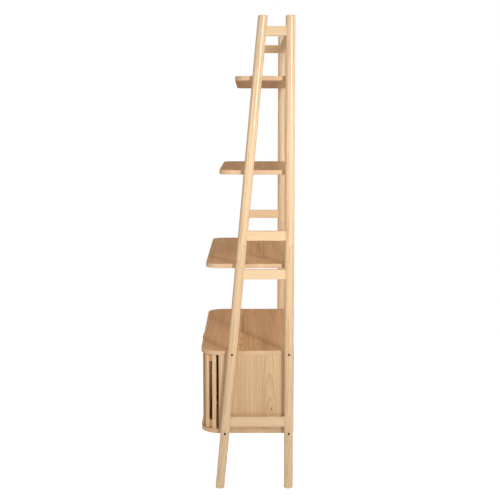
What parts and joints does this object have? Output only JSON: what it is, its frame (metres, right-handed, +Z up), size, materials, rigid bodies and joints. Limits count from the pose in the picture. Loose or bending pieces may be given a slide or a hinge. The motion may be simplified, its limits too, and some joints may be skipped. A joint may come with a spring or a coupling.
{
  "type": "ladder shelf",
  "caption": "Leaning ladder shelf with round legs, open rounded shelves and a low cabinet with curved slatted doors on pivot pins.",
  "frame": {"origin": "on the floor, midway between the side frames and midway between the door knobs' fronts and the boards' rear edges", "axes": "+X to the right seen from the front, +Y to the rear, +Z up"},
  "size_m": [1, 0.39, 1.9],
  "materials": {
    "leg_wood": "satin lacquered light ash, straight grain",
    "rung_wood": "satin lacquered light ash",
    "board_wood": "satin lacquered oak veneer with solid lipping",
    "side_wood": "satin lacquered oak veneer, upright grain",
    "divider_wood": "satin lacquered, dark stained, upright grain",
    "back_ply": "oak-faced plywood, satin",
    "slat_wood": "satin lacquered solid slats",
    "door_rail_wood": "satin lacquered, bent laminated",
    "aged_brass": "aged, satin",
    "insert_brass": "machined",
    "zinc_steel": "zinc plated",
    "black_steel": "black oxide",
    "nylon": "natural nylon",
    "catch_plastic": "brown moulded"
  },
  "bodies": {
    "carcass": {"left_front_leg_upper": "leg_wood", "left_front_leg_lower": "leg_wood", "left_rear_leg_upper": "leg_wood", "left_rear_leg_lower": "leg_wood", "left_head_rung": "rung_wood", "left_upper_rung": "rung_wood", "left_lower_rung": "rung_wood", "left_base_rung": "rung_wood", "left_cabinet_side": "side_wood", "right_front_leg_upper": "leg_wood", "right_front_leg_lower": "leg_wood", "right_rear_leg_upper": "leg_wood", "right_rear_leg_lower": "leg_wood", "right_head_rung": "rung_wood", "right_upper_rung": "rung_wood", "right_lower_rung": "rung_wood", "right_base_rung": "rung_wood", "right_cabinet_side": "side_wood", "top_back_rail": "rung_wood", "top_shelf": "board_wood", "middle_shelf": "board_wood", "lower_shelf": "board_wood", "cabinet_top": "board_wood", "cabinet_floor": "board_wood", "cabinet_back": "back_ply", "cabinet_divider": "divider_wood", "divider_dowels": "rung_wood", "magnetic_catches": "catch_plastic", "pivot_bushes": "nylon", "cabinet_bolts": "black_steel", "cabinet_barrel_nuts": "zinc_steel", "leg_joint_bolts": "zinc_steel", "leg_joint_inserts": "insert_brass", "shelf_pins": "zinc_steel", "cabinet_back_screws": "zinc_steel"},
    "left_door": {"left_door_slats": "slat_wood", "left_door_hinge_slat": "slat_wood", "left_door_pivot_pins": "zinc_steel", "left_door_top_rail": "door_rail_wood", "left_door_bottom_rail": "door_rail_wood", "left_door_knob": "aged_brass", "left_door_knob_screw": "zinc_steel", "left_door_strike_plate": "zinc_steel"},
    "right_door": {"right_door_slats": "slat_wood", "right_door_hinge_slat": "slat_wood", "right_door_pivot_pins": "zinc_steel", "right_door_top_rail": "door_rail_wood", "right_door_bottom_rail": "door_rail_wood", "right_door_knob": "aged_brass", "right_door_knob_screw": "zinc_steel", "right_door_strike_plate": "zinc_steel"}
  },
  "joints": [
    {"name": "left_door_hinge", "type": "hinge", "parent": "carcass", "child": "left_door", "pos_m": [-0.44813, -0.1296, 0.3955], "axis": [0, 0, -1], "range_deg": [0, 100]},
    {"name": "right_door_hinge", "type": "hinge", "parent": "carcass", "child": "right_door", "pos_m": [0.44813, -0.1296, 0.3955], "axis": [0, 0, 1], "range_deg": [0, 100]}
  ]
}
